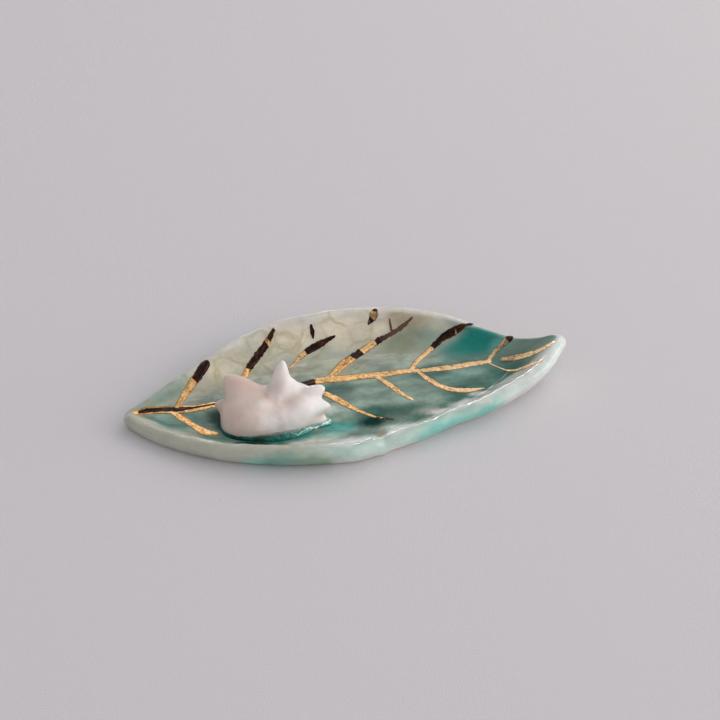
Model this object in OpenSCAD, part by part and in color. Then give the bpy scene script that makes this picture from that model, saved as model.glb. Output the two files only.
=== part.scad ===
/* [Leaf] */
// Length of the leaf from tip to tip
leaf_l = 100; // [85:1:130]
// Reach of the far half, from the line through both tips
far_reach = 22.2; // [19:0.5:32]
// Reach of the near half, from the same line
near_reach = 23.8; // [18:0.5:30]
// How far the spine bows towards the far half
spine_bow = 2.6; // [0:0.1:5]
// Thickness of the clay slab at its rounded rim
slab_t = 3.2; // [2.8:0.1:4]
// Radius of both tips, seen from above
tip_r = 1.9; // [1.2:0.1:3]
// Depth of the ripples that the hand-cut edge has
edge_ripple = 0.15; // [0:0.05:0.4]
// Depth of the nick in the near rim's crest
rim_nick = 0.6; // [0:0.1:1]

/* [Heights] */
// Height of the glass in the hollow, above the table
pool_h = 3; // [2.6:0.1:3.2]
// Depth of that glass over the clay floor
pool_t = 0.9; // [0.6:0.1:1.2]
// Height of the left tip
left_tip_h = 3.8; // [3.4:0.1:7]
// Height of the far rim at its middle
far_rim_h = 8.8; // [7:0.1:12]
// Height of the near rim at its middle
near_rim_h = 6.1; // [5:0.1:9]
// Height of the turned-up right tip
right_tip_h = 9.4; // [7:0.1:12]
// Drop of the far rim just before the right tip
rim_dip = 2.4; // [0:0.1:3]
// Drop of the near rim towards the right tip
near_dip = 1.2; // [0:0.1:2]

/* [Walls] */
// Slope of the hollow's far wall below the rim, in degrees
far_slope = 48; // [35:1:60]
// Slope of the hollow's near wall below the rim, in degrees
near_slope = 52; // [40:1:65]
// Slope of the hollow's walls at the tips, in degrees
tip_slope = 32; // [24:1:45]
// Slope of the underside at both tips, in degrees
tip_under = 68; // [45:1:75]
// Slope of the far underside, in degrees
far_under = 50; // [40:1:65]
// Slope of the near underside, in degrees
near_under = 70; // [55:1:80]
// Length over which the near wall sweeps up from the glass
near_sweep = 1.6; // [1:0.1:3]
// Length over which the far wall sweeps up from the glass
far_sweep = 4; // [2:0.1:6]

/* [Shell] */
// Place of the shell's middle along the leaf, as a share of its length
shell_u = 0.31; // [0.29:0.005:0.33]
// Free glass between the shell's near side and the near wall
shell_gap = 2.6; // [1.6:0.1:4]
// Half the length of the shell without its knobs
shell_half_l = 10; // [8:0.1:11]
// Half the depth of the shell on its near side
shell_near_d = 5.9; // [4.5:0.1:6.6]
// Half the depth of the shell on its far side
shell_far_d = 5.6; // [4.5:0.1:6]
// Height of the shell's middle over the glass
shell_mid_h = 2.4; // [2:0.1:3.5]
// Height of the shell's rounded back over its middle
shell_back_h = 4.9; // [4:0.1:6]
// Length of the main horn beyond the back
horn_l = 6.1; // [2:0.1:8]
// How deep the shell's foot is seated in the glass
shell_seat = 0.3; // [0.1:0.05:0.4]
// Greatest width of the glass bead round the shell's foot
bead_w = 2.3; // [0.8:0.1:3]
// Height of that bead over the glass
bead_h = 0.9; // [0.5:0.1:1.5]

/* [Gold] */
// Thickness of the raised gold strokes
gold_t = 0.2; // [0.1:0.05:0.4]
// Width of a fine stroke; the broad ones are up to 2.8 times as wide
stroke_w = 1; // [0.7:0.05:1.2]

/* [Hidden] */
// How far the body reaches below the table before its foot is ground flat
grind = 0.3;
// Line through both tips, placed so that the leaf's outline is centred
tip_y = (near_reach - far_reach) / 2;

// Outline of each half: [share of the length, share of the reach]
far_shape = [[0, 0], [0.05, 0.19], [0.12, 0.4], [0.2, 0.61], [0.3, 0.84], [0.39, 0.97], [0.48, 1],
  [0.6, 0.98], [0.7, 0.88], [0.8, 0.65], [0.87, 0.4], [0.94, 0.17], [1, 0]];
near_shape = [[0, 0], [0.03, 0.19], [0.08, 0.41], [0.15, 0.63], [0.25, 0.85], [0.37, 0.98], [0.47, 1],
  [0.6, 0.86], [0.7, 0.72], [0.8, 0.6], [0.9, 0.42], [0.96, 0.23], [1, 0]];

function mix(a, b, t) = a + (b - a) * t;
function bump(u, centre, width) = exp(-pow((u - centre) / width, 2));

// Smooth curve through a list of [position, value] points
function span(p, u, i = 1) = i >= len(p) - 1 || u < p[i][0] ? i - 1 : span(p, u, i + 1);
function lean(p, i) =
  let (a = max(0, i - 1), b = min(len(p) - 1, i + 1))
  (p[b][1] - p[a][1]) / (p[b][0] - p[a][0]);
function curve(p, u) =
  let (i = span(p, u), h = p[i + 1][0] - p[i][0], t = (u - p[i][0]) / h)
  p[i][1] * (1 + 2 * t) * pow(1 - t, 2) + lean(p, i) * h * t * pow(1 - t, 2)
    + p[i + 1][1] * t * t * (3 - 2 * t) + lean(p, i + 1) * h * t * t * (t - 1);

// Stations along the leaf, closer together at the tips
stations = 62;
function station(i) = i / stations - 0.1 * sin(360 * i / stations);

// Half width of the leaf at a share u of its length; side is 1 for the far half and -1 for the near one
function nose(u) =
  let (d = min(u, 1 - u) * leaf_l)
  d >= tip_r ? tip_r : sqrt(max(0, tip_r * tip_r - pow(tip_r - d, 2)));
function ripple(u, side) = edge_ripple * sin(180 * u) * sin(360 * (side > 0 ? 8 : 6.5) * u + 40);
function half_width(u, side) =
  let (plain = (side > 0 ? far_reach : near_reach) * max(0, curve(side > 0 ? far_shape : near_shape, u)))
  pow(pow(plain, 3) + pow(nose(u), 3), 1 / 3) + ripple(u, side);

// Height of the rim at a share u of the length
function rim_height(u, side) = side > 0
  ? curve([[0, left_tip_h], [0.12, mix(left_tip_h, far_rim_h, 0.28)], [0.3, mix(left_tip_h, far_rim_h, 0.78)],
      [0.5, far_rim_h], [0.72, far_rim_h - 0.3 * rim_dip], [0.88, far_rim_h - rim_dip],
      [0.95, mix(far_rim_h - rim_dip, right_tip_h, 0.4)], [1, right_tip_h]], u)
  : curve([[0, left_tip_h], [0.06, left_tip_h], [0.18, mix(left_tip_h, near_rim_h, 0.55)], [0.34, near_rim_h],
      [0.58, near_rim_h - near_dip], [0.78, near_rim_h - near_dip / 3],
      [0.92, mix(near_rim_h, right_tip_h, 0.5)], [1, right_tip_h]], u) - rim_nick * bump(u, 0.535, 0.012);

// Slopes of the wall inside and of the underside
function fullness(u) = pow(max(0, sin(180 * u)), 0.7);
function wall_slope(u, side) = mix(tip_slope, side > 0 ? far_slope : near_slope, fullness(u));
function under_slope(u, side) = mix(tip_under, side > 0 ? far_under : near_under, fullness(u));

// Plan of a station: it starts on the spine, which stops short of both tips by a share of the length, and ends on the edge
left_pull = 0.1;
right_pull = 0.2;
function spine(u) = [
  leaf_l * (u - 0.5 + (u < 0.5 ? left_pull * pow(1 - 2 * u, 2.2) : -right_pull * pow(2 * u - 1, 2))),
  tip_y + spine_bow * sin(180 * u)];
function edge(u, side) = [(u - 0.5) * leaf_l, tip_y + side * half_width(u, side)];

// Section of a station as [distance from the spine, height] points, from the spine over the rim to the foot
basin_rings = [[0, 1], [0.5, 1], [0.8, 0.95], [0.94, 0.65], [1, 0]];
wall_rings = 5;
rim_rings = 7;
under_rings = 4;
pool_ring = len(basin_rings) - 1;
function bezier(a, b, c, t) = a * pow(1 - t, 2) + b * 2 * t * (1 - t) + c * t * t;
function section(u, side) =
  let (
    reach = norm(edge(u, side) - spine(u)),
    r = slab_t / 2,
    inner = wall_slope(u, side),
    outer = under_slope(u, side),
    hub = [reach - r, rim_height(u, side) - r],
    crest = hub + r * [-sin(inner), cos(inner)],
    bend = [crest.x - (crest.y - pool_h) / tan(inner), pool_h],
    shore = [bend.x - min(mix(near_sweep, side > 0 ? far_sweep : near_sweep, fullness(u)), 0.4 * bend.x), pool_h],
    heel = hub + r * [sin(outer), -cos(outer)],
    sole = [heel.x - (heel.y + grind) / tan(outer), -grind],
    foot = [sole.x - min(0.7 * heel.y, 0.5 * sole.x), -grind])
  concat(
    [for (b = basin_rings) [shore.x * b[0], pool_h - pool_t * b[1]]],
    [for (k = [1 : wall_rings]) bezier(shore, bend, crest, k / wall_rings)],
    [for (k = [1 : rim_rings]) let (a = mix(90 + inner, outer - 90, k / rim_rings)) hub + r * [cos(a), sin(a)]],
    [for (k = [1 : under_rings]) bezier(heel, sole, foot, k / under_rings)],
    [[0, -grind]]);
rings = len(section(0.5, 1)) - 1;

// Point of a section in space
function placed(u, side, p) =
  let (from = spine(u), way = edge(u, side) - from)
  concat(from + way / norm(way) * p[0], [p[1]]);

// Closed loop of sections round the leaf: the far half from left to right, then the near half back
around = 2 * stations;
function loop_station(a) = a <= stations ? a : around - a;
function loop_side(a) = a <= stations ? 1 : -1;
function quad(a, b, c, d) = [[a, b, c], [a, c, d]];
function turned(face) = [face[2], face[1], face[0]];
// Faces of a shell of rings whose first and last rings close on a spine of their own
function loop_faces(last) =
  let (
    top = around * (last - 1),
    bottom = top + stations + 1,
    at = function (k, a)
      k == 0 ? top + loop_station(a % around)
      : k == last ? bottom + loop_station(a % around)
      : around * (k - 1) + a % around)
  [for (k = [0 : last - 1], a = [0 : around - 1])
    for (f = quad(at(k, a), at(k, a + 1), at(k + 1, a + 1), at(k + 1, a)))
      if (f[0] != f[1] && f[1] != f[2] && f[2] != f[0]) f];

module leaf_blank() {
  sections = [for (a = [0 : around - 1]) section(station(loop_station(a)), loop_side(a))];
  ring_points = [for (k = [1 : rings - 1], a = [0 : around - 1])
    placed(station(loop_station(a)), loop_side(a), sections[a][k])];
  spine_points = [for (z = [pool_h - pool_t, -grind], i = [0 : stations]) concat(spine(station(i)), [z])];
  polyhedron(concat(ring_points, spine_points), [for (f = loop_faces(rings)) turned(f)], convexity = 6);
}

module leaf_body() color([0.78, 0.83, 0.79])
  intersection() {
    leaf_blank();
    translate([-leaf_l, -leaf_l, 0]) cube([2 * leaf_l, 2 * leaf_l, leaf_l]);
  }

// Glass blank that fills the hollow up to its shore
module pool_blank() {
  sections = [for (a = [0 : around - 1]) section(station(loop_station(a)), loop_side(a))];
  ring_points = [for (k = [1 : pool_ring], a = [0 : around - 1])
    placed(station(loop_station(a)), loop_side(a), sections[a][k])];
  spine_points = [for (z = [pool_h - pool_t, pool_h], i = [0 : stations]) concat(spine(station(i)), [z])];
  polyhedron(concat(ring_points, spine_points), loop_faces(pool_ring + 1), convexity = 4);
}

module glaze_pool() color([0.25, 0.52, 0.48])
  difference() {
    pool_blank();
    shell();
  }

// Shell: a rounded back with horns, knobs and hollows, as seen from its middle. Each is [azimuth, elevation, length as a
// share of the main horn's, spread in degrees, sharpness], and a hollow's length is below 0. The order is main horn,
// left hump, left knob, three right knobs, three swellings of the left flank, right shoulder, front bulge, two hollows
horns = [[49.5, 69, 1, 13.5, 1.75], [154.5, 36, 0.92, 15.5, 2], [156, -2, 0.56, 9.5, 1.6], [-2, 24.5, 0.51, 8.5, 2.5],
  [-17, 9, 0.43, 8.5, 1.8], [-20, -13, 0.42, 9, 2], [-172, -8, 0.17, 28, 2], [-164, -27.5, 0.35, 24, 1.15],
  [178, 14, 0.1, 18, 2], [21.5, 49, 0.22, 17.5, 1.5], [-36, 22, 0.08, 15, 2], [-58, 58, -0.07, 16, 2],
  [168, 60, -0.07, 12, 2]];
near_shore = placed(shell_u, -1, section(shell_u, -1)[pool_ring]);
shell_hub = [spine(shell_u).x, near_shore.y + shell_gap + shell_near_d, pool_h + shell_mid_h];
shell_around = 60;
shell_rings = 19;
shell_squareness = 2.65;
function aim(azimuth, elevation) =
  [cos(elevation) * cos(azimuth), cos(elevation) * sin(azimuth), sin(elevation)];
function shell_r(azimuth, elevation) =
  let (
    n = aim(azimuth, elevation),
    plain = pow(
      pow(abs(n.x) / shell_half_l, shell_squareness)
        + pow(abs(n.y) / (n.y < 0 ? shell_near_d : shell_far_d), shell_squareness)
        + pow(abs(n.z) / shell_back_h, shell_squareness), -1 / shell_squareness),
    growth = [for (h = horns) horn_l * h[2] * exp(-pow(acos(min(1, n * aim(h[0], h[1]))) / h[3], h[4]))])
  plain + growth * [for (h = horns) 1];
// Distance of the shell's surface from its middle, in plan, at a height
function shell_reach(azimuth, z, guess = 10, tries = 9) =
  let (
    elevation = atan2(z - shell_hub.z, guess),
    found = mix(guess, shell_r(azimuth, elevation) * cos(elevation), 0.6))
  tries == 0 ? found : shell_reach(azimuth, z, found, tries - 1);
function shell_point(azimuth, z) =
  let (reach = shell_reach(azimuth, z)) [shell_hub.x + reach * cos(azimuth), shell_hub.y + reach * sin(azimuth), z];

// Rings of points from the lowest up: at the foot, at the glass, at the top of the bead, and over the back
shell_azimuths = [for (a = [0 : shell_around - 1]) 360 * a / shell_around];
glass_ring = [for (az = shell_azimuths) shell_point(az, pool_h)];
bead_ring = [for (az = shell_azimuths) shell_point(az, pool_h + bead_h)];
foot_ring = [for (p = glass_ring) p - [0, 0, shell_seat]];
function back_ring(k) = [for (a = [0 : shell_around - 1])
  let (
    p = bead_ring[a] - shell_hub,
    low = atan2(p.z, norm([p.x, p.y])),
    az = shell_azimuths[a],
    el = mix(low, 90, k / shell_rings))
  shell_hub + shell_r(az, el) * aim(az, el)];

module shell() color([0.86, 0.81, 0.78]) {
  n = shell_around;
  ring_list = concat([foot_ring, glass_ring, bead_ring], [for (k = [1 : shell_rings - 1]) back_ring(k)]);
  last = len(ring_list) - 1;
  bottom = n * (last + 1);
  polyhedron(
    concat([for (r = ring_list) each r],
      [[shell_hub.x, shell_hub.y, pool_h - shell_seat], shell_hub + [0, 0, shell_r(0, 90)]]),
    concat(
      [for (k = [0 : last - 1], a = [0 : n - 1])
        each quad(k * n + a, (k + 1) * n + a, (k + 1) * n + (a + 1) % n, k * n + (a + 1) % n)],
      [for (a = [0 : n - 1]) [bottom, a, (a + 1) % n]],
      [for (a = [0 : n - 1]) [bottom + 1, last * n + (a + 1) % n, last * n + a]]),
    convexity = 6);
}

// Bead of glass round the shell's foot, broad in front and thin behind: its inner side is the shell's own band between
// two of its rings
bead_steps = 4;
function bead_width(azimuth) = min(bead_w, shell_gap - 0.1) * mix(0.2, 1, pow(max(0, -sin(azimuth - 10)), 1.6));
bead_outline = [for (az = shell_azimuths)
  let (reach = shell_reach(az, pool_h) + bead_width(az)) [shell_hub.x + reach * cos(az), shell_hub.y + reach * sin(az)]];

module glass_bead() color([0.1, 0.36, 0.33]) {
  n = shell_around;
  outer_rings = [for (k = [0 : bead_steps - 1]) [for (a = [0 : n - 1])
    let (
      rise = sin(90 * k / bead_steps),
      inner = mix(glass_ring[a], bead_ring[a], rise),
      width = bead_width(shell_azimuths[a]) * cos(90 * k / bead_steps))
    inner + width * [cos(shell_azimuths[a]), sin(shell_azimuths[a]), 0]]];
  ring_list = concat([glass_ring], outer_rings, [bead_ring]);
  count = len(ring_list);
  polyhedron(
    [for (r = ring_list) each r],
    [for (k = [0 : count - 1], a = [0 : n - 1])
      let (up = (k + 1) % count * n, b = (a + 1) % n)
      each (k < count - 1 ? quad(k * n + a, up + a, up + b, k * n + b)
        : [for (f = quad(a, k * n + a, k * n + b, b)) turned(f)])],
    convexity = 6);
}

// Finished surface of each half of the hollow: glass inside its shore, clay from there to the rim's crest
skin_rings = pool_ring + wall_rings + 3;
function skin(side) = [for (i = [0 : stations])
  let (u = station(i), p = section(u, side))
  [for (j = [0 : skin_rings]) placed(u, side, [p[j][0], j < pool_ring ? pool_h : p[j][1]])]];
far_skin = skin(1);
near_skin = skin(-1);

// Gold strokes: points of [percent of the length, percent of the half's reach (near is below 0), width in fine strokes]
function on_leaf(p) =
  let (u = p[0] / 100, side = p[1] < 0 ? -1 : 1, middle = tip_y + spine_bow * sin(180 * u))
  [(u - 0.5) * leaf_l, mix(middle, edge(u, side).y, abs(p[1]) / 100)];
function brush(p) = [for (q = p) concat(on_leaf(q), [q[2] * stroke_w])];
// The same stroke with smooth steps between its points
brush_steps = 3;
function smooth(p) = concat(
  [for (i = [0 : len(p) - 2], k = [0 : brush_steps - 1])
    let (t = k / brush_steps, a = p[max(0, i - 1)], b = p[i], c = p[i + 1], d = p[min(len(p) - 1, i + 2)])
    0.5 * (2 * b + (c - a) * t + (2 * a - 5 * b + 4 * c - d) * t * t + (3 * b - 3 * c + d - a) * t * t * t)],
  [p[len(p) - 1]]);
function stroke_outline(points) =
  let (
    p = smooth(brush(points)),
    last = len(p) - 1,
    way = [for (i = [0 : last]) let (d = p[min(last, i + 1)] - p[max(0, i - 1)]) [d.x, d.y] / norm([d.x, d.y])],
    left = [for (i = [0 : last]) [p[i].x - way[i].y * p[i].z / 2, p[i].y + way[i].x * p[i].z / 2]],
    right = [for (i = [last : -1 : 0]) [p[i].x + way[i].y * p[i].z / 2, p[i].y - way[i].x * p[i].z / 2]])
  concat(
    [[p[0].x, p[0].y] - way[0] * p[0].z / 2], left,
    [[p[last].x, p[last].y] + way[last] * p[last].z / 2], right);

midrib_left_points = [[2.5, 8, 0.9], [5, 12, 1.8], [8.5, 2, 2.4], [12, -6, 2.8], [15.5, -8, 2.4], [19, -7, 2.1],
  [24, -5, 1.6], [30, -3, 1.5], [35.5, -1, 1.4]];
midrib_middle_points = [[36.5, -1, 1.4], [41.5, 4, 2], [45, 6, 2.3], [48.5, 4, 2.4], [53, 3, 2.3], [58, 2, 2.1],
  [63, 3, 1.8], [66.5, 2, 1.3]];
midrib_right_points = [[67.5, 1, 1.3], [71, 1, 1.8], [75, 2, 2], [79, 6, 1.9], [83, 10, 1.2]];
midrib_tip_points = [[86, 10, 0.9], [88.5, 3, 1.3], [91, -6, 1.7], [94, -18, 1.7], [96.5, -24, 1]];
far_vein_1_points = [[12, 0, 1.2], [13.5, 30, 1.4], [16, 54, 1.6], [18, 67, 1.7], [20, 81, 2.2]];
far_vein_2_points = [[25.5, 4, 0.9], [27, 26, 1.1], [29.5, 51, 1.4], [32, 64, 1.5], [34.5, 74, 1.3], [37, 85, 0.6]];
far_vein_3_points = [[38.5, 35, 0.4], [40.5, 46, 0.7], [43, 56, 1.4], [46, 62, 1.6], [50.5, 69, 0.4]];
far_vein_4_points = [[46.4, 7, 1.5], [48, 14, 1.8], [51, 30, 2.4], [55, 45, 2], [59.5, 58, 1.4], [63, 65, 0.9],
  [66, 72, 0.9], [68.5, 81, 0.4]];
far_twig_points = [[63.5, 66, 0.4], [63.5, 73, 0.5], [63.5, 80, 0.3]];
far_vein_5_points = [[65, 2, 1], [67, 19, 1.2], [70.5, 39, 1.3], [74, 57, 1.5], [77, 67, 1.7], [79.5, 77, 1]];
far_vein_6_points = [[82.5, 9, 0.8], [84.5, 29, 1.1], [86.5, 47, 1.2], [88.5, 67, 1.8]];
near_vein_1_points = [[10.5, -8, 1], [12.5, -28, 1.8], [14.5, -44, 1.5], [16.5, -57, 2.1], [19, -59, 1]];
near_vein_2_points = [[44.5, -13, 1.5], [47, -24, 1.9], [50, -40, 1.2], [53.5, -55, 0.7], [57.5, -66, 0.3]];
near_vein_3_points = [[57, 0, 1], [59, -13, 1.5], [61, -30, 1.3], [63, -43, 0.7]];
near_vein_4_points = [[66.5, 1, 0.8], [68.5, -19, 1.5], [71.5, -38, 1.5], [75.5, -48, 1.6], [79.5, -51, 0.4]];
near_vein_5_points = [[82.5, 7, 0.4], [85, -13, 0.5], [88, -37, 1], [90.5, -56, 1.9], [92.5, -72, 0.9]];
spot_points = [[[45.5, 81, 0.7], [45.5, 76, 1], [45.5, 71, 0.5]], [[60.5, 89, 1.2], [60, 84, 1.7], [58.5, 77, 0.4]],
  [[81.5, 90, 0.8], [81, 85, 1], [80, 79, 0.5]]];

// Part of a half's skin that lies under an outline, thickened upwards to a sheet of gold
module gold_sheet(skin, side, outline) {
  pad = 0.015 * leaf_l;
  x = [for (p = outline) p.x];
  y = [for (p = outline) p.y];
  inside = function (p) p.x > min(x) - pad && p.x < max(x) + pad && p.y > min(y) - pad && p.y < max(y) + pad;
  hit_i = [for (i = [0 : stations]) if (len([for (p = skin[i]) if (inside(p)) 1]) > 0) i];
  hit_j = [for (j = [0 : skin_rings]) if (len([for (i = [0 : stations]) if (inside(skin[i][j])) 1]) > 0) j];
  if (len(hit_i) > 0) {
    i0 = max(0, min(hit_i) - 1);
    i1 = min(stations, max(hit_i) + 1);
    j0 = max(0, min(hit_j) - 1);
    j1 = min(skin_rings, max(hit_j) + 1);
    rows = i1 - i0 + 1;
    cols = j1 - j0 + 1;
    at = function (level, i, j) (level * rows + i) * cols + j;
    faces = concat(
      [for (i = [0 : rows - 2], j = [0 : cols - 2])
        each quad(at(1, i, j), at(1, i, j + 1), at(1, i + 1, j + 1), at(1, i + 1, j))],
      [for (i = [0 : rows - 2], j = [0 : cols - 2])
        for (f = quad(at(0, i, j), at(0, i, j + 1), at(0, i + 1, j + 1), at(0, i + 1, j))) turned(f)],
      [for (i = [0 : rows - 2]) each quad(at(0, i, 0), at(1, i, 0), at(1, i + 1, 0), at(0, i + 1, 0))],
      [for (i = [0 : rows - 2])
        each quad(at(0, i + 1, cols - 1), at(1, i + 1, cols - 1), at(1, i, cols - 1), at(0, i, cols - 1))],
      [for (j = [0 : cols - 2]) each quad(at(0, 0, j + 1), at(1, 0, j + 1), at(1, 0, j), at(0, 0, j))],
      [for (j = [0 : cols - 2])
        each quad(at(0, rows - 1, j), at(1, rows - 1, j), at(1, rows - 1, j + 1), at(0, rows - 1, j + 1))]);
    polyhedron([for (level = [0, 1], i = [i0 : i1], j = [j0 : j1]) skin[i][j] + [0, 0, level * gold_t]],
      side > 0 ? faces : [for (f = faces) turned(f)], convexity = 8);
  }
}
module column(outline) linear_extrude(2 * max(right_tip_h, far_rim_h)) polygon(outline);

// One stroke of gold, less the strokes that it starts from and, where it passes the shell, less the bead of glass
module gold(points, others = [], at_shell = false) color([0.84, 0.66, 0.36]) {
  outline = stroke_outline(points);
  difference() {
    intersection() {
      union() {
        gold_sheet(far_skin, 1, outline);
        gold_sheet(near_skin, -1, outline);
      }
      column(outline);
    }
    for (o = others) column(stroke_outline(o));
    if (at_shell) column(bead_outline);
  }
}

module midrib_left() gold(midrib_left_points, at_shell = true);
module midrib_middle() gold(midrib_middle_points, at_shell = true);
module midrib_right() gold(midrib_right_points);
module midrib_tip() gold(midrib_tip_points);
module far_vein_1() gold(far_vein_1_points, [midrib_left_points]);
module far_vein_2() gold(far_vein_2_points, [midrib_left_points]);
module far_vein_3() gold(far_vein_3_points);
module far_vein_4() gold(far_vein_4_points, [midrib_middle_points]);
module far_vein_5() gold(far_vein_5_points, [midrib_middle_points]);
module far_vein_6() gold(far_vein_6_points, [midrib_right_points]);
module far_twig() gold(far_twig_points, [far_vein_4_points]);
module near_vein_1() gold(near_vein_1_points, [midrib_left_points], at_shell = true);
module near_vein_2() gold(near_vein_2_points, at_shell = true);
module near_vein_3() gold(near_vein_3_points, [midrib_middle_points]);
module near_vein_4() gold(near_vein_4_points, [midrib_middle_points, midrib_right_points]);
module near_vein_5() gold(near_vein_5_points, [midrib_right_points, far_vein_6_points]);
module gold_spots() for (s = spot_points) gold(s);

leaf_body();
glaze_pool();
glass_bead();
shell();
midrib_left();
midrib_middle();
midrib_right();
midrib_tip();
far_vein_1();
far_vein_2();
far_vein_3();
far_vein_4();
far_vein_5();
far_vein_6();
far_twig();
near_vein_1();
near_vein_2();
near_vein_3();
near_vein_4();
near_vein_5();
gold_spots();
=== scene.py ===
"""Leaf-shaped ring dish of glazed porcelain with a glass pool, gold lustre veins and a seated shell."""
import math
from functools import lru_cache

import bmesh
import bpy
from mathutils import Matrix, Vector, noise
from mathutils.bvhtree import BVHTree


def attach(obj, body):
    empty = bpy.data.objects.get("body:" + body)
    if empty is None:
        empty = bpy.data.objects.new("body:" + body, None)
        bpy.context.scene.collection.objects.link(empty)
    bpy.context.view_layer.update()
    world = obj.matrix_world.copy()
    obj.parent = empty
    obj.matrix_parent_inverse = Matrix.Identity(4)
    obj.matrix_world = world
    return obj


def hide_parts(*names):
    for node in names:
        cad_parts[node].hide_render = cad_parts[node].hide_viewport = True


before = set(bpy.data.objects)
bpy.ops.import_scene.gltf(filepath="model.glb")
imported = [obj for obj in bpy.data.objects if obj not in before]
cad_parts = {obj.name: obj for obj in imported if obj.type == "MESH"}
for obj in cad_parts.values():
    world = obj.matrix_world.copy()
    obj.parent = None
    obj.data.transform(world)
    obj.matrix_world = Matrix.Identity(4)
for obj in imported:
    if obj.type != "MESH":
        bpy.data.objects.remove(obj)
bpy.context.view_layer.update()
scene = bpy.context.scene
MM = 0.001

# The leaf's own sizes, in mm, as in the CAD source
LEAF_L, FAR_REACH, NEAR_REACH, SPINE_BOW, SLAB_T, TIP_R = 100, 22.2, 23.8, 2.6, 3.2, 1.9
EDGE_RIPPLE, RIM_NICK, LEFT_PULL, RIGHT_PULL = 0.15, 0.6, 0.1, 0.2
POOL_H, POOL_T, LEFT_TIP_H, FAR_RIM_H, NEAR_RIM_H, RIGHT_TIP_H = 3, 0.9, 3.8, 8.8, 6.1, 9.4
RIM_DIP, NEAR_DIP, NEAR_SWEEP, FAR_SWEEP = 2.4, 1.2, 1.6, 4
FAR_SLOPE, NEAR_SLOPE, TIP_SLOPE, TIP_UNDER, FAR_UNDER, NEAR_UNDER = 48, 52, 32, 68, 50, 70
SHELL_U, SHELL_GAP, SHELL_HALF_L, SHELL_NEAR_D, SHELL_FAR_D = 0.31, 2.6, 10, 5.9, 5.6
SHELL_MID_H, SHELL_BACK_H, SHELL_SQUARENESS, HORN_L = 2.4, 4.9, 2.65, 6.1
SHELL_SEAT, BEAD_W, BEAD_H, GRIND = 0.3, 2.3, 0.9, 0.3
TIP_Y = (NEAR_REACH - FAR_REACH) / 2
FAR_SHAPE = [(0, 0), (0.05, 0.19), (0.12, 0.4), (0.2, 0.61), (0.3, 0.84), (0.39, 0.97), (0.48, 1),
             (0.6, 0.98), (0.7, 0.88), (0.8, 0.65), (0.87, 0.4), (0.94, 0.17), (1, 0)]
NEAR_SHAPE = [(0, 0), (0.03, 0.19), (0.08, 0.41), (0.15, 0.63), (0.25, 0.85), (0.37, 0.98), (0.47, 1),
              (0.6, 0.86), (0.7, 0.72), (0.8, 0.6), (0.9, 0.42), (0.96, 0.23), (1, 0)]
# Horns, knobs and hollows of the shell: azimuth, elevation, share of the main horn's length, spread in degrees, sharpness
HORNS = [(49.5, 69, 1, 13.5, 1.75), (154.5, 36, 0.92, 15.5, 2), (156, -2, 0.56, 9.5, 1.6), (-2, 24.5, 0.51, 8.5, 2.5),
         (-17, 9, 0.43, 8.5, 1.8), (-20, -13, 0.42, 9, 2), (-172, -8, 0.17, 28, 2), (-164, -27.5, 0.35, 24, 1.15),
         (178, 14, 0.1, 18, 2), (21.5, 49, 0.22, 17.5, 1.5), (-36, 22, 0.08, 15, 2), (-58, 58, -0.07, 16, 2),
         (168, 60, -0.07, 12, 2)]


def mix(a, b, t):
    return a + (b - a) * t


def sind(a):
    return math.sin(math.radians(a))


def cosd(a):
    return math.cos(math.radians(a))


def bump(u, centre, width):
    return math.exp(-((u - centre) / width) ** 2)


def smoothstep(a, b, x):
    t = min(1, max(0, (x - a) / (b - a)))
    return t * t * (3 - 2 * t)


def between(stops, x):
    """Value at x on straight lines between (position, value) stops."""
    for (a, va), (b, vb) in zip(stops, stops[1:]):
        if x <= b:
            return va + (vb - va) * (max(0, x - a) / (b - a))
    return stops[-1][1]


def curve(p, u):
    """Smooth curve through a list of (position, value) points."""
    i = 0
    while i < len(p) - 2 and u >= p[i + 1][0]:
        i += 1

    def lean(k):
        a, b = max(0, k - 1), min(len(p) - 1, k + 1)
        return (p[b][1] - p[a][1]) / (p[b][0] - p[a][0])
    h = p[i + 1][0] - p[i][0]
    t = (u - p[i][0]) / h
    return (p[i][1] * (1 + 2 * t) * (1 - t) ** 2 + lean(i) * h * t * (1 - t) ** 2
            + p[i + 1][1] * t * t * (3 - 2 * t) + lean(i + 1) * h * t * t * (t - 1))


def half_width(u, side):
    plain = (FAR_REACH if side > 0 else NEAR_REACH) * max(0, curve(FAR_SHAPE if side > 0 else NEAR_SHAPE, u))
    d = min(u, 1 - u) * LEAF_L
    nose = TIP_R if d >= TIP_R else math.sqrt(max(0, TIP_R ** 2 - (TIP_R - d) ** 2))
    ripple = EDGE_RIPPLE * sind(180 * u) * sind(360 * (8 if side > 0 else 6.5) * u + 40)
    return (plain ** 3 + nose ** 3) ** (1 / 3) + ripple


def rim_height(u, side):
    if side > 0:
        return curve([(0, LEFT_TIP_H), (0.12, mix(LEFT_TIP_H, FAR_RIM_H, 0.28)), (0.3, mix(LEFT_TIP_H, FAR_RIM_H, 0.78)),
                      (0.5, FAR_RIM_H), (0.72, FAR_RIM_H - 0.3 * RIM_DIP), (0.88, FAR_RIM_H - RIM_DIP),
                      (0.95, mix(FAR_RIM_H - RIM_DIP, RIGHT_TIP_H, 0.4)), (1, RIGHT_TIP_H)], u)
    return curve([(0, LEFT_TIP_H), (0.06, LEFT_TIP_H), (0.18, mix(LEFT_TIP_H, NEAR_RIM_H, 0.55)), (0.34, NEAR_RIM_H),
                  (0.58, NEAR_RIM_H - NEAR_DIP), (0.78, NEAR_RIM_H - NEAR_DIP / 3),
                  (0.92, mix(NEAR_RIM_H, RIGHT_TIP_H, 0.5)), (1, RIGHT_TIP_H)], u) - RIM_NICK * bump(u, 0.535, 0.012)


def fullness(u):
    return max(0, sind(180 * u)) ** 0.7


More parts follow.
